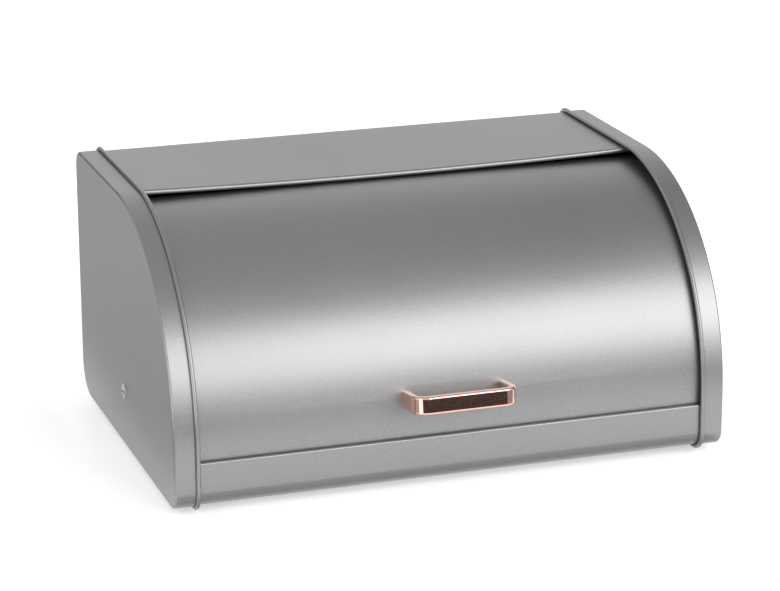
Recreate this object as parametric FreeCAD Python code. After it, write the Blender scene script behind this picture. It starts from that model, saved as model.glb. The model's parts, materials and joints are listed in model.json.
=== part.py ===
import FreeCAD, Part

# Bread box with a roll top: a pressed-steel case and a curved lid that turns back into it.
# Millimetres. X runs along the case, the front faces -Y, Z is up. The counter is z = 0, and the origin
# lies midway between the end caps and midway between the handle's front and the case's back.

import math
import os

from FreeCAD import Placement, Rotation, Vector

# ---- Case ----
case_width = 400.0  # over the flat outer faces of the end caps
curve_radius = 146.0  # the caps' quarter circle
curve_height = 40.0  # the quarter circle's centre above the caps' lower edge
back_reach = 129.0  # from that centre to the caps' back edge
back_top_bend = 12.7
back_bottom_bend = 24.0
front_bottom_bend = 12.0
foot_lift = 4.5  # the caps' lower edge above the counter
sheet = 0.6  # steel of the caps, panels and lid
lap_gap = 0.1  # between sheets that lap and are spot welded
cut_past = 1.0  # how far a drill or cutter runs past the face it leaves

# ---- End caps ----
cap_edge_inside = 1.1  # inside radius of the bend from face to flange
flange_width = 14.7  # outer face to the bead
bead_hollow = 1.0  # inside radius of the curled bead
bead_slit = 0.4  # left between the curl's end and the flange

# ---- Top and back panel ----
panel_end_gap = 0.5  # from the cap's inner bend to the panel's end
lip_setback = 0.6  # the rolled lip's front behind the quarter circle's centre
lip_hollow = 1.3  # inside radius of the rolled lip
lip_turn = 200.0  # degrees that the lip is rolled through
lip_sag = 3.1  # how far the middle of the lip hangs below its ends
seam_lap = 16.0
vent_radius = 1.9
vent_count = 9
vent_rows = 2
vent_pitch = 14.0
vent_drop = 45.0  # from the top to the first row

# ---- Base and front sill ----
sill_height = 33.3  # the sill's top above the caps' lower edge
hem_hollow = 0.9  # inside radius of the sill's folded hem
hem_depth = 8.0
joggle_length = 3.0

# ---- Feet ----
foot_radius = 8.0
foot_tip_radius = 7.0
foot_stem_radius = 3.0
foot_bulb_radius = 4.0
foot_bulb_height = 2.2
foot_end_inset = 38.0  # from the caps' outer faces
foot_front_inset = 34.0
foot_seam_gap = 6.0  # from the back feet to the step in the base

# ---- Pivots ----
pivot_ahead = 6.2  # the pivot in front of the quarter circle's centre
pivot_rise = 1.6  # and above it
pivot_screw_radius = 2.5
pivot_head_radius = 5.4
pivot_head_rim = 0.5
pivot_head_height = 1.6
pivot_slot_width = 1.2
pivot_slot_depth = 0.8
pivot_screw_tip = 1.0  # screw left showing past its nut
bush_flange_radius = 7.0
bush_flange = 3.3
bush_spigot_radius = 4.0
washer_radius = 6.0
washer_thickness = 1.0
nut_across_flats = 8.0
nut_height = 5.0
running_gap = 0.05  # radial, of every shaft in its hole
side_play = 0.1

# ---- Lid ----
lid_radius = 136.0  # pivot to the lid's face
lid_low = -6.0  # degrees above the pivot's level, at the front edge
lid_high = 97.0
lid_swing = 62.0  # degrees from shut to open
lid_past_arm = 1.0  # the lid sheet's ends beyond the arms
lid_hem_hollow = 0.3
lid_hem_depth = 8.0
lid_hem_end_gap = 2.0  # from the hem's end to the arm's tab
arm_sheet = 0.8
arm_bend_inside = 0.7
arm_tab_width = 10.0
arm_tab_relief = 4.0  # degrees left without a tab at each end of the arc
arm_hub_radius = 14.0

# ---- Stops ----
stop_drop = 20.0  # the stops' centres below the lid's face
stop_gap = 0.3  # between the arm and the sleeve at rest
stud_radius = 2.0
stud_head_radius = 3.0
stud_head_thickness = 1.0
sleeve_radius = 4.0
sleeve_past_arm = 2.3

# ---- Handle ----
handle_width = 76.0
handle_height = 12.3
handle_standoff = 29.0  # lid face to the handle's front
handle_bar = 6.0
handle_leg = 5.6
handle_corner = 12.0
handle_inner_corner = 4.5
handle_edge = 1.5
handle_angle = 7.9  # degrees above the pivot's level
handle_seat_gap = 0.1
handle_screw_radius = 1.5
handle_screw_reach = 9.0  # into the leg
handle_screw_head_radius = 3.0
handle_screw_head_height = 2.2
handle_screw_recess_radius = 1.2
handle_screw_recess_depth = 1.2
handle_hole_depth = 11.0
handle_washer_radius = 3.5
handle_washer_thickness = 0.6

# ---- Worked out from the sizes above ----
half_width = case_width / 2
cap_edge_bend = cap_edge_inside + sheet
bead_radius = bead_hollow + sheet
bead_proud = bead_hollow + bead_radius
bead_turn = 360 - math.degrees(math.acos((bead_hollow - bead_slit) / bead_radius))
panel_inset = sheet + lap_gap
panel_half = half_width - cap_edge_bend - panel_end_gap
lip_radius = lip_hollow + sheet
lip_back = lip_setback + lip_radius
hem_radius = hem_hollow + sheet
top_level = curve_radius - panel_inset
back_line = back_reach - panel_inset
base_level = panel_inset - curve_height
sill_line = panel_inset - curve_radius
sill_level = sill_height - curve_height
seam_start = back_reach - back_bottom_bend
joggle_start = seam_start - seam_lap - joggle_length - lap_gap

lid_hem_radius = lid_hem_hollow + sheet
cap_face = half_width - sheet
arm_outer = cap_face - bush_flange - side_play
arm_inner = arm_outer - arm_sheet
arm_radius = lid_radius - sheet - lap_gap
arm_bend = arm_bend_inside + arm_sheet
lid_half = arm_outer + lid_past_arm
lid_hem_half = arm_outer - arm_tab_width - lid_hem_end_gap
spigot_end = arm_inner - side_play
nut_face = spigot_end - washer_thickness
sleeve_start = cap_face - side_play
sleeve_end = arm_inner - sleeve_past_arm

stop_reach = lid_radius - stop_drop
stop_turn = math.degrees(math.asin((sleeve_radius + stop_gap) / stop_reach))
closed_stop_angle = lid_low - stop_turn
open_stop_angle = lid_high + lid_swing + stop_turn

handle_front = lid_radius + handle_standoff
handle_tilt = math.radians(handle_angle)
handle_reach = handle_front * math.cos(handle_tilt) + handle_height / 2 * math.sin(handle_tilt)
handle_leg_centre = (handle_width - handle_leg) / 2

pivot_y = (handle_reach - pivot_ahead - back_reach - bead_proud) / 2
pivot_z = foot_lift + curve_height + pivot_rise

ACROSS = Vector(1, 0, 0)


# ---- Helpers ----
def at(y, z, x=0.0):
    """A point given from the pivot: y towards the back, z up."""
    return Vector(x, pivot_y + y, pivot_z + z)


def in_case(y, z, x=0.0):
    """A point given from the centre of the caps' quarter circle: y towards the back, z up."""
    return at(pivot_ahead + y, z - pivot_rise, x)


def polar(radius, angle, x=0.0):
    """A point at a radius from the pivot, at an angle above its level on the front side."""
    turn = math.radians(angle)
    return at(-radius * math.cos(turn), radius * math.sin(turn), x)


def line(start, end):
    return Part.LineSegment(start, end).toShape()


def arc(start, middle, end):
    return Part.Arc(start, middle, end).toShape()


def polar_arc(radius, start, end, x=0.0):
    return arc(polar(radius, start, x), polar(radius, (start + end) / 2, x), polar(radius, end, x))


def fused(shapes):
    """One solid from shapes that meet, without the seams between them."""
    return shapes[0].fuse(shapes[1:]).removeSplitter()


def mirrored(shape):
    """The same piece for the left end."""
    return shape.mirror(Vector(0, 0, 0), ACROSS)


def bent_path(points, bends):
    """A path through the points, rounded at each inner point by the bend radius given for it."""
    edges = []
    start = points[0]
    for before, corner, after, bend in zip(points, points[1:], points[2:], bends):
        back = (before - corner).normalize()
        onward = (after - corner).normalize()
        half_angle = back.getAngle(onward) / 2
        set_back = bend / math.tan(half_angle)
        entry = corner + back * set_back
        leave = corner + onward * set_back
        middle = corner + (back + onward).normalize() * (bend / math.sin(half_angle) - bend)
        if (entry - start).Length > 1e-6:
            edges.append(line(start, entry))
        edges.append(arc(entry, middle, leave))
        start = leave
    if (points[-1] - start).Length > 1e-6:
        edges.append(line(start, points[-1]))
    return Part.Wire(edges)


def bent_sheet(path, half_length):
    """Sheet metal whose outer side follows the path, centred on the middle of the case.

    Seen from the right end, the path runs so that the metal is on its left.
    """
    section = path.makeOffset2D(-sheet, 0, True, True)
    return section.translated(ACROSS * -half_length).extrude(ACROSS * 2 * half_length)


def ring_sector(inner, outer, start, end):
    """A flat band round the pivot between two radii and two angles."""
    edges = [
        polar_arc(outer, start, end),
        line(polar(outer, end), polar(inner, end)),
        polar_arc(inner, end, start),
        line(polar(inner, start), polar(outer, start)),
    ]
    return Part.Face(Part.Wire(edges))


def disc_stack(profile, centre, axis=ACROSS):
    """A turned piece: (distance along the axis, radius) points, joined by lines and turned about the axis."""
    turned = Rotation(ACROSS, axis)
    points = [Vector(along, 0, radius) for along, radius in profile]
    outline = Part.makePolygon(points + points[:1])
    solid = Part.Face(outline).revolve(Vector(0, 0, 0), ACROSS, 360)
    solid.Placement = Placement(centre, turned)
    return solid


def ring(start, end, outer, inner, centre):
    """A plain collar along X from start to end."""
    profile = [(start, inner), (start, outer), (end, outer), (end, inner)]
    return disc_stack(profile, centre)


def rod(start, end, radius, centre):
    return Part.makeCylinder(radius, end - start, centre + ACROSS * start, ACROSS)


# ---- End caps ----
def cap_corners():
    """Centre and radius of the outline's corners: front top, back top, back bottom, front bottom."""
    bottom = -curve_height
    return [
        (in_case(0, 0), curve_radius),
        (in_case(back_reach - back_top_bend, curve_radius - back_top_bend), back_top_bend),
        (in_case(back_reach - back_bottom_bend, bottom + back_bottom_bend), back_bottom_bend),
        (in_case(front_bottom_bend - curve_radius, bottom + front_bottom_bend), front_bottom_bend),
    ]


def cap_rim_section():
    """The right cap's rim cut across at the front: edge bend, flange and curled bead, outward to -Y."""

    def spot(inward, outward):
        return Vector(half_width - inward, -outward, 0)

    def bead(radius, turn):
        swing = math.radians(turn)
        curl_across = flange_width + bead_radius + radius * math.sin(swing)
        return spot(curl_across, bead_hollow - radius * math.cos(swing))

    def bend(radius, turn):
        swing = math.radians(turn)
        return spot(cap_edge_bend - radius * math.cos(swing), radius * math.sin(swing) - cap_edge_bend)

    edges = [
        arc(bend(cap_edge_bend, 0), bend(cap_edge_bend, 45), bend(cap_edge_bend, 90)),
        line(bend(cap_edge_bend, 90), bead(bead_hollow, 0)),
        arc(bead(bead_hollow, 0), bead(bead_hollow, bead_turn / 2), bead(bead_hollow, bead_turn)),
        line(bead(bead_hollow, bead_turn), bead(bead_radius, bead_turn)),
        arc(bead(bead_radius, bead_turn), bead(bead_radius, bead_turn / 2), bead(bead_radius, 0)),
        line(bead(bead_radius, 0), bend(cap_edge_inside, 90)),
        arc(bend(cap_edge_inside, 90), bend(cap_edge_inside, 45), bend(cap_edge_inside, 0)),
        line(bend(cap_edge_inside, 0), bend(cap_edge_bend, 0)),
    ]
    return Part.Face(Part.Wire(edges))


def cap_rim():
    """The rim section carried once round the outline, straight runs and corners in turn."""
    section = cap_rim_section()
    corners = cap_corners()
    pieces = []
    for run, (centre, radius) in enumerate(corners):
        outward = Rotation(ACROSS, -90 * run).multVec(Vector(0, -1, 0))
        last_centre, last_radius = corners[run - 1]
        start = last_centre + outward * last_radius
        end = centre + outward * radius
        turned = Rotation(ACROSS, -90 * run)
        at_start = section.transformGeometry(Placement(start, turned).toMatrix())
        at_end = section.transformGeometry(Placement(end, turned).toMatrix())
        pieces.append(at_start.extrude(end - start))
        pieces.append(at_end.revolve(centre, ACROSS, -90))
    return pieces


def cap_plate():
    """The flat of the cap, up to where its edge starts to bend."""
    edges = []
    corners = cap_corners()
    for run, (centre, radius) in enumerate(corners):
        outward = Rotation(ACROSS, -90 * run).multVec(Vector(0, -1, 0))
        onward = Rotation(ACROSS, -90 * (run + 1)).multVec(Vector(0, -1, 0))
        last_centre, last_radius = corners[run - 1]
        inner = radius - cap_edge_bend
        start = last_centre + outward * (last_radius - cap_edge_bend)
        entry = centre + outward * inner
        leave = centre + onward * inner
        middle = centre + (outward + onward).normalize() * inner
        edges += [line(start, entry), arc(entry, middle, leave)]
    face = Part.Face(Part.Wire(edges))
    return face.translated(ACROSS * cap_face).extrude(ACROSS * sheet)


def make_side_cap():
    cap = fused([cap_plate()] + cap_rim())
    hole_radius = pivot_screw_radius + running_gap
    screw_hole = rod(cap_face - cut_past, half_width + cut_past, hole_radius, at(0, 0))
    return cap.cut(screw_hole)


# ---- Panels ----
def lip_arc_radius():
    return (panel_half**2 + lip_sag**2) / (2 * lip_sag)


def make_lip():
    """The rolled front edge of the top, sagging along a long arc."""
    radius = lip_arc_radius()
    swing = math.degrees(math.asin(panel_half / radius))
    centre = in_case(lip_back, top_level - lip_sag - lip_radius)

    def spot(reach, turn):
        angle = math.radians(turn)
        return centre + Vector(0, -reach * math.sin(angle), reach * math.cos(angle))

    edges = [
        arc(spot(lip_radius, 0), spot(lip_radius, lip_turn / 2), spot(lip_radius, lip_turn)),
        line(spot(lip_radius, lip_turn), spot(lip_hollow, lip_turn)),
        arc(spot(lip_hollow, lip_turn), spot(lip_hollow, lip_turn / 2), spot(lip_hollow, 0)),
        line(spot(lip_hollow, 0), spot(lip_radius, 0)),
    ]
    section = Part.Face(Part.Wire(edges))
    hinge = in_case(0, top_level - lip_sag + radius)
    section.rotate(hinge, Vector(0, 1, 0), -swing)
    return section.revolve(hinge, Vector(0, 1, 0), 2 * swing)


def make_sagging_top():
    """The top between its back bend, which is straight, and the lip, which sags."""
    radius = lip_arc_radius()
    swing = math.asin(panel_half / radius)
    back = back_reach - back_top_bend
    low_half = (radius + sheet) * math.sin(swing)
    low_level = top_level - lip_sag + radius - (radius + sheet) * math.cos(swing)
    flat = Part.makePolygon(
        [
            in_case(back, top_level, -panel_half),
            in_case(back, top_level, panel_half),
            in_case(back, top_level - sheet, panel_half),
            in_case(back, top_level - sheet, -panel_half),
            in_case(back, top_level, -panel_half),
        ]
    )
    left, right = in_case(lip_back, top_level, -panel_half), in_case(lip_back, top_level, panel_half)
    low_left, low_right = in_case(lip_back, low_level, -low_half), in_case(lip_back, low_level, low_half)
    bowed = Part.Wire(
        [
            arc(left, in_case(lip_back, top_level - lip_sag), right),
            line(right, low_right),
            arc(low_right, in_case(lip_back, top_level - lip_sag - sheet), low_left),
            line(low_left, left),
        ]
    )
    return Part.makeLoft([flat, bowed], True, True)


def vents():
    """Small round air holes in rows through the back."""
    holes = []
    for row in range(vent_rows):
        for column in range(vent_count):
            x = (column - (vent_count - 1) / 2) * vent_pitch
            start = in_case(back_line - sheet - cut_past, top_level - vent_drop - row * vent_pitch, x)
            holes.append(Part.makeCylinder(vent_radius, sheet + 2 * cut_past, start, Vector(0, 1, 0)))
    return holes


def make_top_back_panel():
    path = bent_path(
        [
            in_case(seam_start - seam_lap, base_level),
            in_case(back_line, base_level),
            in_case(back_line, top_level),
            in_case(back_reach - back_top_bend, top_level),
        ],
        [back_bottom_bend - panel_inset, back_top_bend - panel_inset],
    )
    back = bent_sheet(path, panel_half)
    return fused([back, make_sagging_top(), make_lip()]).cut(vents())


def foot_places():
    """Left and right at the front, then at the back, on the underside of the base."""
    x = half_width - foot_end_inset
    front = foot_front_inset - curve_radius
    back = joggle_start - foot_seam_gap - foot_radius
    return {
        "foot_front_left": in_case(front, base_level, -x),
        "foot_front_right": in_case(front, base_level, x),
        "foot_back_left": in_case(back, base_level, -x),
        "foot_back_right": in_case(back, base_level, x),
    }


def make_base_front_panel():
    hem_back = sill_line + 2 * hem_radius
    lapped_level = base_level + panel_inset
    path = bent_path(
        [
            in_case(hem_back, sill_level - hem_depth),
            in_case(hem_back, sill_level),
            in_case(sill_line, sill_level),
            in_case(sill_line, base_level),
            in_case(joggle_start, base_level),
            in_case(joggle_start + joggle_length, lapped_level),
            in_case(seam_start, lapped_level),
        ],
        [hem_radius, hem_radius, front_bottom_bend - panel_inset, sheet, 2 * sheet],
    )
    panel = bent_sheet(path, panel_half)
    holes = []
    for place in foot_places().values():
        radius = foot_stem_radius + running_gap
        start = place - Vector(0, 0, cut_past)
        holes.append(Part.makeCylinder(radius, sheet + 2 * cut_past, start))
    return panel.cut(holes)


# ---- Feet ----
def make_foot(place):
    """A push-in foot: pad below the base, stem through it and a bulb that holds it from above."""
    drop = place.z
    bulb_start = sheet
    bulb_end = sheet + foot_bulb_height
    profile = [
        (-drop, 0),
        (-drop, foot_tip_radius),
        (0, foot_radius),
        (0, foot_stem_radius),
        (bulb_start, foot_stem_radius),
        (bulb_start, foot_bulb_radius),
        (bulb_end, foot_stem_radius),
        (bulb_end, 0),
    ]
    return disc_stack(profile, place, Vector(0, 0, 1))


# ---- Pivots, made for the right end ----
def make_pivot_screw():
    """Slotted low-domed head outside the cap, shank through cap, bush, washer and nut."""
    tip = nut_face - nut_height - pivot_screw_tip
    shank = rod(tip, half_width, pivot_screw_radius, at(0, 0))
    rim = half_width + pivot_head_rim
    crown = half_width + pivot_head_height
    rise = pivot_head_height - pivot_head_rim
    dome_radius = (pivot_head_radius**2 + rise**2) / (2 * rise)
    dome_turn = math.asin(pivot_head_radius / dome_radius) / 2
    halfway = crown - dome_radius * (1 - math.cos(dome_turn))
    edges = [
        line(Vector(half_width, 0, 0), Vector(half_width, 0, pivot_head_radius)),
        line(Vector(half_width, 0, pivot_head_radius), Vector(rim, 0, pivot_head_radius)),
        arc(
            Vector(rim, 0, pivot_head_radius),
            Vector(halfway, 0, dome_radius * math.sin(dome_turn)),
            Vector(crown, 0, 0),
        ),
        line(Vector(crown, 0, 0), Vector(half_width, 0, 0)),
    ]
    head = Part.Face(Part.Wire(edges)).revolve(Vector(0, 0, 0), ACROSS, 360)
    head.translate(at(0, 0))
    slot_half = pivot_head_radius + cut_past
    slot_corner = at(-slot_half, -pivot_slot_width / 2, crown - pivot_slot_depth)
    slot = Part.makeBox(pivot_slot_depth + cut_past, 2 * slot_half, pivot_slot_width, slot_corner)
    return fused([shank, head]).cut(slot)


def make_pivot_bush():
    """Nylon bush: a flange against the cap and a spigot that the arm turns on."""
    bore = pivot_screw_radius + running_gap
    flange_end = cap_face - bush_flange
    profile = [
        (cap_face, bore),
        (cap_face, bush_flange_radius),
        (flange_end, bush_flange_radius),
        (flange_end, bush_spigot_radius),
        (spigot_end, bush_spigot_radius),
        (spigot_end, bore),
    ]
    return disc_stack(profile, at(0, 0))


def make_pivot_washer():
    return ring(nut_face, spigot_end, washer_radius, pivot_screw_radius + running_gap, at(0, 0))


def make_pivot_nut():
    corner_radius = nut_across_flats / 2 / math.cos(math.radians(30))
    back_face = nut_face - nut_height
    corners = []
    for side in range(7):
        angle = math.radians(60 * side)
        corners.append(at(corner_radius * math.cos(angle), corner_radius * math.sin(angle), back_face))
    nut = Part.Face(Part.makePolygon(corners)).extrude(ACROSS * nut_height)
    bore_radius = pivot_screw_radius + running_gap
    bore = rod(back_face - cut_past, nut_face + cut_past, bore_radius, at(0, 0))
    return nut.cut(bore)


# ---- Stops, made for the right end ----
def make_stop_stud(angle):
    """A headed stud, welded to the inside of the cap, that keeps its rubber sleeve on."""
    head_start = sleeve_end - side_play
    profile = [
        (cap_face, 0),
        (cap_face, stud_radius),
        (head_start, stud_radius),
        (head_start, stud_head_radius),
        (head_start - stud_head_thickness, stud_head_radius),
        (head_start - stud_head_thickness, 0),
    ]
    return disc_stack(profile, polar(stop_reach, angle))


def make_stop_sleeve(angle):
    bore = stud_radius + running_gap
    return ring(sleeve_end, sleeve_start, sleeve_radius, bore, polar(stop_reach, angle))


# ---- Lid ----
def lid_hem(edge_angle, away):
    """The lid's edge folded back inside: a half-round fold and a return leg. away is -1 low, 1 high."""
    fold_radius = lid_radius - lid_hem_radius
    leg_outer = fold_radius - lid_hem_hollow
    leg_angle = edge_angle - away * math.degrees(lid_hem_depth / lid_radius)
    centre = polar(fold_radius, edge_angle)
    radial = (centre - at(0, 0)).normalize()
    along = Rotation(ACROSS, -90 * away).multVec(radial)
    outer, inner = lid_hem_radius, lid_hem_hollow
    edges = [
        arc(centre + radial * outer, centre + along * outer, centre - radial * outer),
        line(centre - radial * outer, centre - radial * inner),
        arc(centre - radial * inner, centre + along * inner, centre + radial * inner),
        line(centre + radial * inner, centre + radial * outer),
    ]
    leg = ring_sector(leg_outer - sheet, leg_outer, min(edge_angle, leg_angle), max(edge_angle, leg_angle))
    sections = [Part.Face(Part.Wire(edges)), leg]
    length = 2 * lid_hem_half
    return [face.translated(ACROSS * -lid_hem_half).extrude(ACROSS * length) for face in sections]


def handle_frame():
    """X along the handle, Y back towards the pivot, Z up the lid, with its origin on the pivot's axis."""
    return Placement(at(0, 0), Rotation(ACROSS, -handle_angle))


def handle_rods(radius, start, end):
    """Two round rods in line with the handle's legs, between two distances from the pivot's axis."""
    rods = []
    for x in (-handle_leg_centre, handle_leg_centre):
        leg_rod = Part.makeCylinder(radius, end - start, Vector(x, -start, 0), Vector(0, -1, 0))
        leg_rod.Placement = handle_frame().multiply(leg_rod.Placement)
        rods.append(leg_rod)
    return rods


def make_lid_sheet():
    skin = ring_sector(lid_radius - sheet, lid_radius, lid_low, lid_high)
    skin = skin.translated(ACROSS * -lid_half).extrude(ACROSS * 2 * lid_half)
    lid = fused([skin] + lid_hem(lid_low, -1) + lid_hem(lid_high, 1))
    inside = lid_radius - sheet - cut_past
    return lid.cut(handle_rods(handle_screw_radius + running_gap, inside, lid_radius + cut_past))


def make_lid_arm():
    """A sector plate on the pivot, its round edge turned in as a tab under the lid sheet."""
    plate_radius = arm_radius - arm_bend
    edges = [
        line(at(0, 0), polar(plate_radius, lid_low)),
        polar_arc(plate_radius, lid_low, lid_high),
        line(polar(plate_radius, lid_high), at(0, 0)),
    ]
    plate = Part.Face(Part.Wire(edges)).translated(ACROSS * arm_inner).extrude(ACROSS * arm_sheet)
    hub = rod(arm_inner, arm_outer, arm_hub_radius, at(0, 0))
    tab_start = lid_low + arm_tab_relief
    tab_end = lid_high - arm_tab_relief

    def spot(inward, reach):
        return polar(reach, tab_start, arm_outer - inward)

    def bend(radius, turn):
        swing = math.radians(turn)
        return spot(arm_bend - radius * math.cos(swing), plate_radius + radius * math.sin(swing))

    edges = [
        arc(bend(arm_bend, 0), bend(arm_bend, 45), bend(arm_bend, 90)),
        line(bend(arm_bend, 90), spot(arm_tab_width, arm_radius)),
        line(spot(arm_tab_width, arm_radius), spot(arm_tab_width, arm_radius - arm_sheet)),
        line(spot(arm_tab_width, arm_radius - arm_sheet), bend(arm_bend_inside, 90)),
        arc(bend(arm_bend_inside, 90), bend(arm_bend_inside, 45), bend(arm_bend_inside, 0)),
        line(bend(arm_bend_inside, 0), bend(arm_bend, 0)),
    ]
    tab = Part.Face(Part.Wire(edges)).revolve(at(0, 0), ACROSS, tab_start - tab_end)
    hole_radius = bush_spigot_radius + running_gap
    hole = rod(arm_inner - cut_past, arm_outer + cut_past, hole_radius, at(0, 0))
    return fused([plate, hub, tab]).cut(hole)


# ---- Handle ----
def make_handle():
    """A bow of flat bar with rounded corners and edges, its feet cut to the curve of the lid."""
    foot_line = -(lid_radius - handle_leg)
    half = handle_width / 2
    outer = bent_path(
        [Vector(-half, foot_line, 0), Vector(-half, -handle_front, 0),
         Vector(half, -handle_front, 0), Vector(half, foot_line, 0)],
        [handle_corner, handle_corner],
    )
    inner_half = half - handle_leg
    inner_front = -(handle_front - handle_bar)
    inner = bent_path(
        [Vector(inner_half, foot_line, 0), Vector(inner_half, inner_front, 0),
         Vector(-inner_half, inner_front, 0), Vector(-inner_half, foot_line, 0)],
        [handle_inner_corner, handle_inner_corner],
    )
    ends = [
        line(Vector(half, foot_line, 0), Vector(inner_half, foot_line, 0)),
        line(Vector(-inner_half, foot_line, 0), Vector(-half, foot_line, 0)),
    ]
    outline = Part.Wire(outer.Edges + [ends[0]] + inner.Edges + [ends[1]])
    bow = Part.Face(outline).translated(Vector(0, 0, -handle_height / 2)).extrude(Vector(0, 0, handle_height))
    long_edges = [edge for edge in bow.Edges if edge_runs_along(edge, foot_line)]
    bow = bow.makeFillet(handle_edge, long_edges)
    bow.Placement = handle_frame().multiply(bow.Placement)
    lid_space = rod(-half_width, half_width, lid_radius + handle_seat_gap, at(0, 0))
    hole_radius = handle_screw_radius + running_gap
    screw_holes = handle_rods(hole_radius, lid_radius, lid_radius + handle_hole_depth)
    return bow.cut(lid_space).cut(screw_holes)


def edge_runs_along(edge, foot_line):
    """True for the bow's long edges: those on its two flat sides, but not across the ends of its legs."""
    on_side = abs(abs(edge.CenterOfMass.z) - handle_height / 2) < 1e-6
    across_end = abs(edge.CenterOfMass.y - foot_line) < 1e-6
    return on_side and not across_end


def washer_face():
    """How far from the pivot a flat washer's face lies when its edges meet the inside of the lid."""
    inside = lid_radius - sheet
    return math.sqrt(inside**2 - handle_washer_radius**2) - running_gap


def make_handle_washers():
    seat = washer_face() - handle_washer_thickness
    discs = handle_rods(handle_washer_radius, seat, washer_face())
    bores = handle_rods(handle_screw_radius + running_gap, seat - cut_past, lid_radius)
    return Part.makeCompound([disc.cut(bores) for disc in discs])


def make_handle_screws():
    seat = washer_face() - handle_washer_thickness
    crown = seat - handle_screw_head_height
    shanks = handle_rods(handle_screw_radius, seat, lid_radius + handle_screw_reach)
    heads = handle_rods(handle_screw_head_radius, crown, seat)
    recess_end = crown + handle_screw_recess_depth
    recesses = handle_rods(handle_screw_recess_radius, crown - cut_past, recess_end)
    return Part.makeCompound([fused([shank, head]).cut(recesses) for shank, head in zip(shanks, heads)])


# ---- Every piece ----
def build():
    parts = {
        "top_back_panel": make_top_back_panel(),
        "base_front_panel": make_base_front_panel(),
        "lid_sheet": make_lid_sheet(),
        "handle": make_handle(),
        "handle_screws": make_handle_screws(),
        "handle_washers": make_handle_washers(),
    }
    for name, place in foot_places().items():
        parts[name] = make_foot(place)
    right_end = {
        "side_cap": make_side_cap(),
        "lid_arm": make_lid_arm(),
        "pivot_screw": make_pivot_screw(),
        "pivot_bush": make_pivot_bush(),
        "pivot_washer": make_pivot_washer(),
        "pivot_nut": make_pivot_nut(),
        "closed_stop_stud": make_stop_stud(closed_stop_angle),
        "closed_stop_sleeve": make_stop_sleeve(closed_stop_angle),
        "open_stop_stud": make_stop_stud(open_stop_angle),
        "open_stop_sleeve": make_stop_sleeve(open_stop_angle),
    }
    for name, shape in right_end.items():
        parts[name + "_right"] = shape
        parts[name + "_left"] = mirrored(shape)
    return parts


os.makedirs("parts", exist_ok=True)
for name, shape in build().items():
    shape.exportStep(f"parts/{name}.step")
    box = shape.BoundBox
    size = f"{box.XLength:.1f} x {box.YLength:.1f} x {box.ZLength:.1f} mm"
    state = "valid" if shape.isValid() else "NOT VALID"
    print(f"{name:26s} {len(shape.Solids)} solid(s), {state}, {shape.Volume:9.1f} mm3, {size}")
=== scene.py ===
# %% [markdown]
# # A roll-top bread box in painted steel
# The real box is a case of two drawn end caps joined by two bent sheets, and a curved lid that
# turns back into the case on two side pivots. The engineering model already holds each of those
# pieces at its true size and place, so this lesson doesn't model them again. It loads them, gives
# every piece the finish of the real one, and sets up a plain studio that shows the finish.

import json
import math

import bpy
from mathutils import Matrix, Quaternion, Vector


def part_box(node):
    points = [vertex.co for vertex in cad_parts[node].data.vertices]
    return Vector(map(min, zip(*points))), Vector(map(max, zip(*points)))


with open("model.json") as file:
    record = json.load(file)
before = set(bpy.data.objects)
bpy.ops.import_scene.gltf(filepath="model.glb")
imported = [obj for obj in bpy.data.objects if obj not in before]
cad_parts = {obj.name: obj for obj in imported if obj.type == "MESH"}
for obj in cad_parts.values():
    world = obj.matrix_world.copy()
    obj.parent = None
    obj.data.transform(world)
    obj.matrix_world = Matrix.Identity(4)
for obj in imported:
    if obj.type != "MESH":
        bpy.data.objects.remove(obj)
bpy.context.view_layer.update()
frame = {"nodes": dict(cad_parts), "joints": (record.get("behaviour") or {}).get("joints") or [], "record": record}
pivot = frame["joints"][0]["pos_m"]
case_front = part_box("side_cap_right")[0].y
print("pieces:", len(frame["nodes"]), "pivot at", tuple(round(value, 4) for value in pivot))

# %% [markdown]
# ## A small kit for node materials
# Each finish below is a short chain of shader nodes. A node's input may be a plain value or
# another node's output, and both cases come up all the time, so one helper feeds a whole set of
# inputs of either kind. A second one adds a node and feeds it, and a third starts a new material.
# Clicking the same chains together in the shader editor would work too, but a script shows every
# setting at a glance.

# %% Helpers that feed nodes, add them and start a material
def feed(node, inputs):
    """Give inputs of a node, by name or number, plain values or other nodes' outputs."""
    for name, value in inputs.items():
        if isinstance(value, bpy.types.NodeSocket):
            node.id_data.links.new(value, node.inputs[name])
        else:
            node.inputs[name].default_value = value


def add_node(tree, kind, inputs, **settings):
    """A new node with its settings and its inputs."""
    node = tree.nodes.new(kind)
    for name, value in settings.items():
        setattr(node, name, value)
    feed(node, inputs)
    return node


def start_material(name):
    """A new material and its main shader."""
    material = bpy.data.materials.new(name)
    material.use_nodes = True
    return material, material.node_tree.nodes["Principled BSDF"]

# %% [markdown]
# ## Grain, tint and bump
# No sprayed, plated or moulded surface is quite even. In each finish a noise field, fixed to the
# piece, makes the small changes of colour, of roughness and of height. Image textures could do the
# same, but noise has no seams, needs no unwrapping and stays sharp at any distance.

# %% Helpers for uneven surfaces
def object_place(tree):
    """The place on the piece, in metres, so that the noise stays on it when it moves."""
    return add_node(tree, "ShaderNodeTexCoord", {}).outputs["Object"]


def grain(tree, place, size, detail=1.0):
    """Noise whose lumps are about size metres across, between 0 and 1 and mostly near 0.5."""
    inputs = {"Vector": place, "Scale": 1 / size, "Detail": detail}
    return add_node(tree, "ShaderNodeTexNoise", inputs).outputs["Fac"]


def spread(tree, value, low, high, start=0.3, end=0.7):
    """The value, which lies between start and end, stretched to lie between low and high."""
    inputs = {"Value": value, "From Min": start, "From Max": end, "To Min": low, "To Max": high}
    return add_node(tree, "ShaderNodeMapRange", inputs).outputs["Result"]


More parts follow.
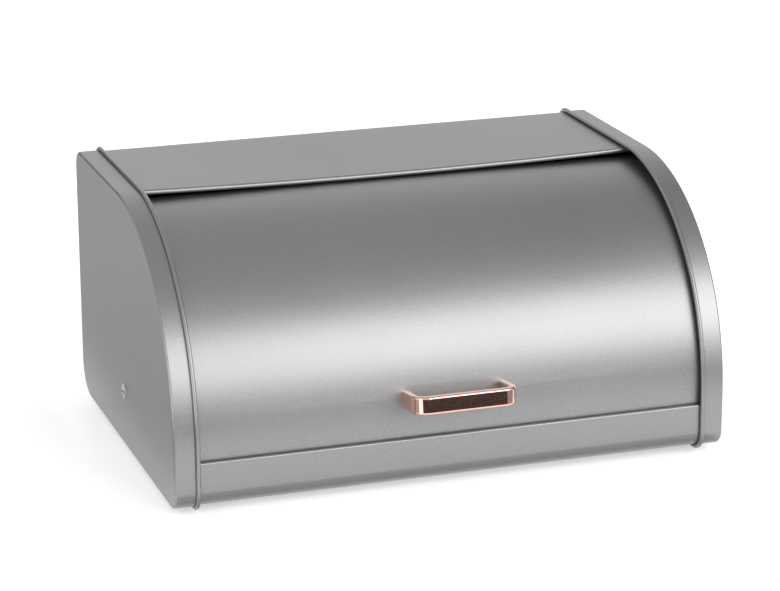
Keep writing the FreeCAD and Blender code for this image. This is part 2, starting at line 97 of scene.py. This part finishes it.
def calculate(tree, operation, first, second):
    """The sum, product or larger of two values, by the name of the operation."""
    inputs = {0: first, 1: second}
    return add_node(tree, "ShaderNodeMath", inputs, operation=operation).outputs["Value"]


def tinted(tree, colour, factor):
    """The colour, made lighter or darker by a factor near 1."""
    inputs = {0: colour, "Scale": factor}
    return add_node(tree, "ShaderNodeVectorMath", inputs, operation="SCALE").outputs["Vector"]


def bumpy(tree, lumps, height):
    """The surface's normal, tilted as if the lumps stood height metres high."""
    inputs = {"Height": lumps, "Distance": height, "Strength": 1.0}
    return add_node(tree, "ShaderNodeBump", inputs).outputs["Normal"]

# %% [markdown]
# ## Silver-grey metallic paint
# The case and the lid are sprayed with a grey paint full of fine aluminium flakes. Seen close it
# has a tight sparkling grain, and from a step back the flakes act like a satin metal: a lamp turns
# into a wide soft band along the lid. A plain grey shader would miss both. So the colour gets a
# grain of about half a millimetre, the roughness varies with it, and a bump of two hundredths of a
# millimetre tilts the flakes. A second, much larger noise makes the film very slightly uneven, as
# a sprayed coat is.

# %% Build the paint
PAINT_GREY = (0.308, 0.313, 0.313)
PAINT_METALLIC = 0.9
FLAKE_SIZE = 0.0006
FLAKE_HEIGHT = 0.000018
FLAKE_SHADE = (0.88, 1.12)
FLAKE_ROUGHNESS = (-0.04, 0.04)
CLOUD_SIZE = 0.09
CLOUD_SHADE = (0.985, 1.015)
CLOUD_ROUGHNESS = (-0.015, 0.015)


def metallic_paint(name, roughness):
    """Grey flake paint; roughness is its mean, which the flakes and clouds change a little."""
    material, shader = start_material(name)
    tree = material.node_tree
    place = object_place(tree)
    flakes = grain(tree, place, FLAKE_SIZE)
    clouds = grain(tree, place, CLOUD_SIZE, detail=2.0)
    flake_shade = spread(tree, flakes, *FLAKE_SHADE)
    cloud_shade = spread(tree, clouds, *CLOUD_SHADE)
    shade = calculate(tree, "MULTIPLY", flake_shade, cloud_shade)
    flake_change = spread(tree, flakes, *FLAKE_ROUGHNESS)
    cloud_change = spread(tree, clouds, *CLOUD_ROUGHNESS)
    change = calculate(tree, "ADD", flake_change, cloud_change)
    feed(shader, {
        "Base Color": tinted(tree, PAINT_GREY, shade),
        "Roughness": calculate(tree, "ADD", change, roughness),
        "Normal": bumpy(tree, flakes, FLAKE_HEIGHT),
        "Metallic": PAINT_METALLIC,
    })
    return material


finishes = {
    "cap_paint": metallic_paint("cap_paint", roughness=0.36),
    "panel_paint": metallic_paint("panel_paint", roughness=0.36),
    "lid_paint": metallic_paint("lid_paint", roughness=0.38),
}
print("paints:", sorted(finishes))

# %% [markdown]
# ## Copper-plated handle
# The bow handle is a die casting with a bright rose-copper plate. Plating follows the polished
# casting under it, which is never quite flat, so the mirror image in it wavers a little. A very
# low, wide bump makes that waver, and a faint fine noise in colour and roughness stands for
# handling marks. The clear coat over it is the lacquer that keeps real copper plate from
# tarnishing, and it keeps the edges bright.

# %% Build the copper plate
COPPER = (0.95, 0.55, 0.45)
WAVER_SIZE = 0.012
WAVER_HEIGHT = 0.000012
SMUDGE_SIZE = 0.003
SMUDGE_SHADE = (0.96, 1.04)
SMUDGE_ROUGHNESS = (0.04, 0.09)
LACQUER_ROUGHNESS = 0.05


def copper_plate():
    material, shader = start_material("copper_plate")
    tree = material.node_tree
    place = object_place(tree)
    waver = grain(tree, place, WAVER_SIZE)
    smudges = grain(tree, place, SMUDGE_SIZE, detail=3.0)
    feed(shader, {
        "Base Color": tinted(tree, COPPER, spread(tree, smudges, *SMUDGE_SHADE)),
        "Roughness": spread(tree, smudges, *SMUDGE_ROUGHNESS),
        "Normal": bumpy(tree, waver, WAVER_HEIGHT),
        "Metallic": 1.0,
        "Coat Weight": 1.0,
        "Coat Roughness": LACQUER_ROUGHNESS,
    })
    return material


finishes["copper_plate"] = copper_plate()
print("plate:", finishes["copper_plate"].name)

# %% [markdown]
# ## Zinc, plain steel, nylon and rubber
# The pivot screws are zinc plated. The nuts, washers, studs and handle screws are plain steel, the
# bushes are moulded nylon, and the feet and stop sleeves are rubber. They differ in colour,
# roughness and how coarse their surface is, so one function with those settings makes them all.
# The two metals get a streaky, turned look from noise that is squeezed along one axis.

# %% Build the small parts' finishes
LUMP_SHADE = (0.9, 1.1)
LUMP_ROUGHNESS = 0.06


def small_part_finish(name, colour, roughness, metallic, lump, height, squeeze=(1, 1, 1)):
    """One finish; lump and height are the size and height of its unevenness in metres."""
    material, shader = start_material(name)
    tree = material.node_tree
    squeezed = {"Vector": object_place(tree), "Scale": squeeze}
    place = add_node(tree, "ShaderNodeMapping", squeezed).outputs["Vector"]
    lumps = grain(tree, place, lump, detail=3.0)
    smoothest = roughness - LUMP_ROUGHNESS
    roughest = roughness + LUMP_ROUGHNESS
    feed(shader, {
        "Base Color": tinted(tree, colour, spread(tree, lumps, *LUMP_SHADE)),
        "Roughness": spread(tree, lumps, smoothest, roughest),
        "Normal": bumpy(tree, lumps, height),
        "Metallic": metallic,
    })
    return material

# %% [markdown]
# For the zinc the noise is squeezed from front to back, which draws upright streaks on the screws'
# heads. For the steel it is squeezed from top to bottom, which draws level ones.

# %% Mix the four finishes
small_finishes = {
    "zinc": dict(
        colour=(0.62, 0.64, 0.68), roughness=0.28, metallic=1.0,
        lump=0.0009, height=0.000008, squeeze=(1, 6, 1),
    ),
    "plain_steel": dict(
        colour=(0.5, 0.5, 0.51), roughness=0.35, metallic=1.0,
        lump=0.0009, height=0.00001, squeeze=(1, 1, 6),
    ),
    "nylon": dict(
        colour=(0.78, 0.77, 0.7), roughness=0.5, metallic=0.0,
        lump=0.0012, height=0.00002,
    ),
    "rubber": dict(
        colour=(0.022, 0.022, 0.024), roughness=0.72, metallic=0.0,
        lump=0.0007, height=0.00003,
    ),
}
for name, settings in small_finishes.items():
    finishes[name] = small_part_finish(name, **settings)
print("finishes:", sorted(finishes))

# %% [markdown]
# ## Dress every piece
# Thirty pieces could be dressed one by one, but the record already lists each of them with the
# finish it has. So the loop goes through that list and puts the finish into the piece's own
# material slots, and no piece can be forgotten.

# %% Put the finishes on
for entry in frame["record"]["subparts"]:
    piece = frame["nodes"][entry["node"]]
    for material_slot in piece.material_slots:
        material_slot.material = finishes[entry["material_slot"]]

# %% [markdown]
# ## A plain white studio
# Satin metal shows what is around it more than its own colour, so the studio is half of the
# finish. The floor and the surroundings are white. The floor is a diffuse sheet that keeps the
# box's shadow, and a little light of its own, for the camera and for reflections only, lifts it to
# white. The cards that come later are flat sheets too, so one helper makes both.

# %% Three directions and a helper for flat sheets
ACROSS = Vector((1, 0, 0))
DEEP = Vector((0, 1, 0))
UP = Vector((0, 0, 1))


def flat_sheet(name, centre, half_across, half_up):
    """A four-cornered sheet about its centre; the two half sizes are vectors."""
    corners = [centre - half_across - half_up, centre + half_across - half_up]
    corners += [centre + half_across + half_up, centre - half_across + half_up]
    mesh = bpy.data.meshes.new(name)
    mesh.from_pydata(corners, [], [(0, 1, 2, 3)])
    sheet = bpy.data.objects.new(name, mesh)
    bpy.context.scene.collection.objects.link(sheet)
    return sheet

# %% Lay the floor
WHITE = (1.0, 1.0, 1.0, 1.0)
FLOOR_HALF = 6.0
FLOOR_COLOUR = (0.93, 0.93, 0.93, 1.0)
FLOOR_ROUGHNESS = 0.4
FLOOR_GLOSS = 0.3
FLOOR_LIFT_SEEN = 0.42
FLOOR_LIFT_MIRRORED = 0.37


def floor_finish():
    material, shader = start_material("studio_white")
    tree = material.node_tree
    rays = add_node(tree, "ShaderNodeLightPath", {}).outputs
    seen = calculate(tree, "MULTIPLY", rays["Is Camera Ray"], FLOOR_LIFT_SEEN)
    mirrored = calculate(tree, "MAXIMUM", rays["Is Glossy Ray"], rays["Is Transmission Ray"])
    mirrored_lift = calculate(tree, "MULTIPLY", mirrored, FLOOR_LIFT_MIRRORED)
    feed(shader, {
        "Base Color": FLOOR_COLOUR,
        "Roughness": FLOOR_ROUGHNESS,
        "Specular IOR Level": FLOOR_GLOSS,
        "Emission Color": WHITE,
        "Emission Strength": calculate(tree, "ADD", seen, mirrored_lift),
    })
    return material


floor = flat_sheet("studio_floor", Vector((0, 0, 0)), FLOOR_HALF * ACROSS, FLOOR_HALF * DEEP)
floor.data.materials.append(floor_finish())
print("floor:", floor.name, "lifted by", FLOOR_LIFT_SEEN, "and", FLOOR_LIFT_MIRRORED)

# %% [markdown]
# The world around is white at the horizon and falls to grey overhead, as a studio with pale walls
# and an unlit ceiling does. That grey is what darkens the upper curve of the lid. The camera
# itself sees plain white everywhere.

# %% Set the world
WORLD_HORIZON = 0.94
WORLD_ZENITH = 0.58
FADE_START = 0.3
FADE_END = 0.85


def studio_world():
    world = bpy.data.worlds.new("studio")
    world.use_nodes = True
    tree = world.node_tree
    direction = add_node(tree, "ShaderNodeTexCoord", {}).outputs["Generated"]
    height = add_node(tree, "ShaderNodeSeparateXYZ", {"Vector": direction}).outputs["Z"]
    gradient = spread(tree, height, WORLD_HORIZON, WORLD_ZENITH, start=FADE_START, end=FADE_END)
    seen = add_node(tree, "ShaderNodeLightPath", {}).outputs["Is Camera Ray"]
    strength = calculate(tree, "MAXIMUM", gradient, seen)
    feed(tree.nodes["Background"], {"Color": WHITE, "Strength": strength})
    return world


bpy.context.scene.world = studio_world()
print("world from", WORLD_HORIZON, "at the horizon to", WORLD_ZENITH, "overhead")

# %% [markdown]
# ## The lamps
# One long softbox stands in front, to the right. A curved sheet shows it as a bright band along
# the whole lid where the sheet leans back by about 25 degrees, and the same lamp lights the front.
# A bare bulb or a sun would draw a hard thin line there instead. The softbox hangs turned by a few
# degrees, which lifts the band's left end, so that the band runs level. A narrow strip lamp, low
# at the left, adds the thin glint on the handle's left corner and a little light low on the left
# end cap. Two lamps are enough: more would put more bands on the lid. Both aim at the middle of
# the end caps' curve.

# %% Hang the lamps
LAMP_AIM = Vector((0, case_front + 0.1486, 0.0445))


def softbox(name, direction, distance, size, power, turn=0.0):
    """A lamp in the given direction from LAMP_AIM; turn is its lean about that direction."""
    data = bpy.data.lights.new(name, "AREA")
    data.shape = "RECTANGLE"
    data.size, data.size_y = size
    data.energy = power
    lamp = bpy.data.objects.new(name, data)
    lamp.location = LAMP_AIM + direction.normalized() * distance
    facing = (-direction).to_track_quat("-Z", "Y")
    lamp.rotation_euler = (Quaternion(direction.normalized(), turn) @ facing).to_euler()
    bpy.context.scene.collection.objects.link(lamp)
    return lamp


lamps = [
    softbox(
        "main_softbox", direction=Vector((0.52, -0.82, 0.5)), distance=2.6,
        size=(2.7, 1.5), power=37.0, turn=math.radians(-9),
    ),
    softbox(
        "left_strip", direction=Vector((-0.8, -0.6, 0.22)), distance=0.9,
        size=(0.2, 0.5), power=1.0,
    ),
]
print("lamps:", [lamp.name for lamp in lamps])

# %% [markdown]
# ## Cards
# A bright room alone makes metal look milky, so a studio has cards standing just out of view, and
# polished copper shows each of them. A black card stands low in front and turns the handle's front
# dark from corner to corner. A grey card on either side of it makes the corners fade instead of
# flashing white. A pale grey sheet on the floor, beside the left end and behind it, takes the
# glare off that end cap. A narrow sheet along the sill's foot is painted shade: it stands for a
# deeper contact shadow on the floor there, is seen only in the reflection, and darkens the sill's
# lower bend. A black card far behind at the left draws the left cap's outer bend as a thin dark
# line. A grey card above and to the right keeps the upper lid even from left to right, and a tall
# dark one far out at the right darkens the two bends of that end cap's rim. Only reflections see
# the cards, so they never hide or shade the box. Painting the handle dark would be simpler, but it
# would stay dark from every side.

# %% A helper that makes one card
def reflected_card(name, grey, centre, half_across, half_up):
    """A matt card that only reflections see."""
    card = flat_sheet(name, centre, half_across, half_up)
    material, shader = start_material(name)
    feed(shader, {"Base Color": (grey, grey, grey, 1.0), "Roughness": 1.0})
    card.data.materials.append(material)
    card.visible_camera = False
    card.visible_diffuse = False
    card.visible_shadow = False
    return card

# %% [markdown]
# Each card is given by its grey, its middle and its two half sizes. The middles are measured from
# the front of the case, so the cards keep their place beside the box if its depth changes. The
# three low cards end two millimetres above the floor.

# %% Stand the cards
def beside_case(x, behind_front, height):
    """A place given by its distance behind the front of the case; ahead of it is negative."""
    return Vector((x, case_front + behind_front, height))


LOW_MIDDLE = 0.031
LOW_HALF = 0.029 * UP
card_table = {
    # name: grey, middle, first half size, second half size
    "front_card": (0.055, beside_case(-0.035, -0.35, LOW_MIDDLE), 0.315 * ACROSS, LOW_HALF),
    "right_front_card": (
        0.4, beside_case(0.33, -0.2, LOW_MIDDLE), 0.05 * ACROSS + 0.15 * DEEP, LOW_HALF,
    ),
    "left_front_card": (0.5, beside_case(-0.27, -0.04, LOW_MIDDLE), 0.07 * DEEP, LOW_HALF),
    "left_sheet": (0.82, beside_case(-0.5035, 0.7, 0.004), 0.2765 * ACROSS, 0.65 * DEEP),
    # painted shade: a darker floor strip at the sill's foot stands for a deeper contact shadow
    "foot_shade_sheet": (0.8, beside_case(0, -0.01, 0.0015), 0.2 * ACROSS, 0.016 * DEEP),
    "upper_card": (0.5, beside_case(0.7, 0.2, 0.9), 0.32 * ACROSS, 0.4 * DEEP),
    "back_card": (0.03, beside_case(-0.62, 1.2, 0.33), 0.26 * ACROSS, 0.26 * UP),
    "right_card": (0.05, beside_case(1.2, 0.6, 0.4), 0.25 * ACROSS + 0.7 * DEEP, 0.4 * UP),
}
cards = [reflected_card(name, *details) for name, details in card_table.items()]
print("cards:", [card.name for card in cards])

# %% [markdown]
# ## The camera
# A long lens from about two metres keeps the box's edges nearly parallel. The camera looks from
# the left and from a little above, so the left end cap, the top and the whole lid show. It could
# be pushed into place by eye, but two angles, a distance and the point that it looks at place it
# again exactly.

# %% Place the camera
CAMERA_AZIMUTH = math.radians(-18.51)
CAMERA_ELEVATION = math.radians(17.19)
CAMERA_ROLL = math.radians(-0.2)
CAMERA_DISTANCE = 2.0463
CAMERA_LENS = 133.6
SENSOR_WIDTH = 36.0
CAMERA_AIM = Vector((-0.0161, case_front + 0.0983, 0.1108))


def place_camera():
    """Stand the camera back from CAMERA_AIM in the direction that the two angles give."""
    data = bpy.data.cameras.new("camera")
    data.lens = CAMERA_LENS
    data.sensor_width = SENSOR_WIDTH
    camera = bpy.data.objects.new("camera", data)
    flat = math.cos(CAMERA_ELEVATION)
    x = math.sin(CAMERA_AZIMUTH) * flat
    y = -math.cos(CAMERA_AZIMUTH) * flat
    back = Vector((x, y, math.sin(CAMERA_ELEVATION)))
    camera.location = CAMERA_AIM + back * CAMERA_DISTANCE
    camera.rotation_euler = (-back).to_track_quat("-Z", "Y").to_euler()
    camera.rotation_euler.rotate_axis("Z", CAMERA_ROLL)
    bpy.context.scene.collection.objects.link(camera)
    return camera


camera = place_camera()
bpy.context.scene.camera = camera
bpy.context.scene.view_settings.view_transform = "Standard"
print("camera at", tuple(round(value, 3) for value in camera.location))
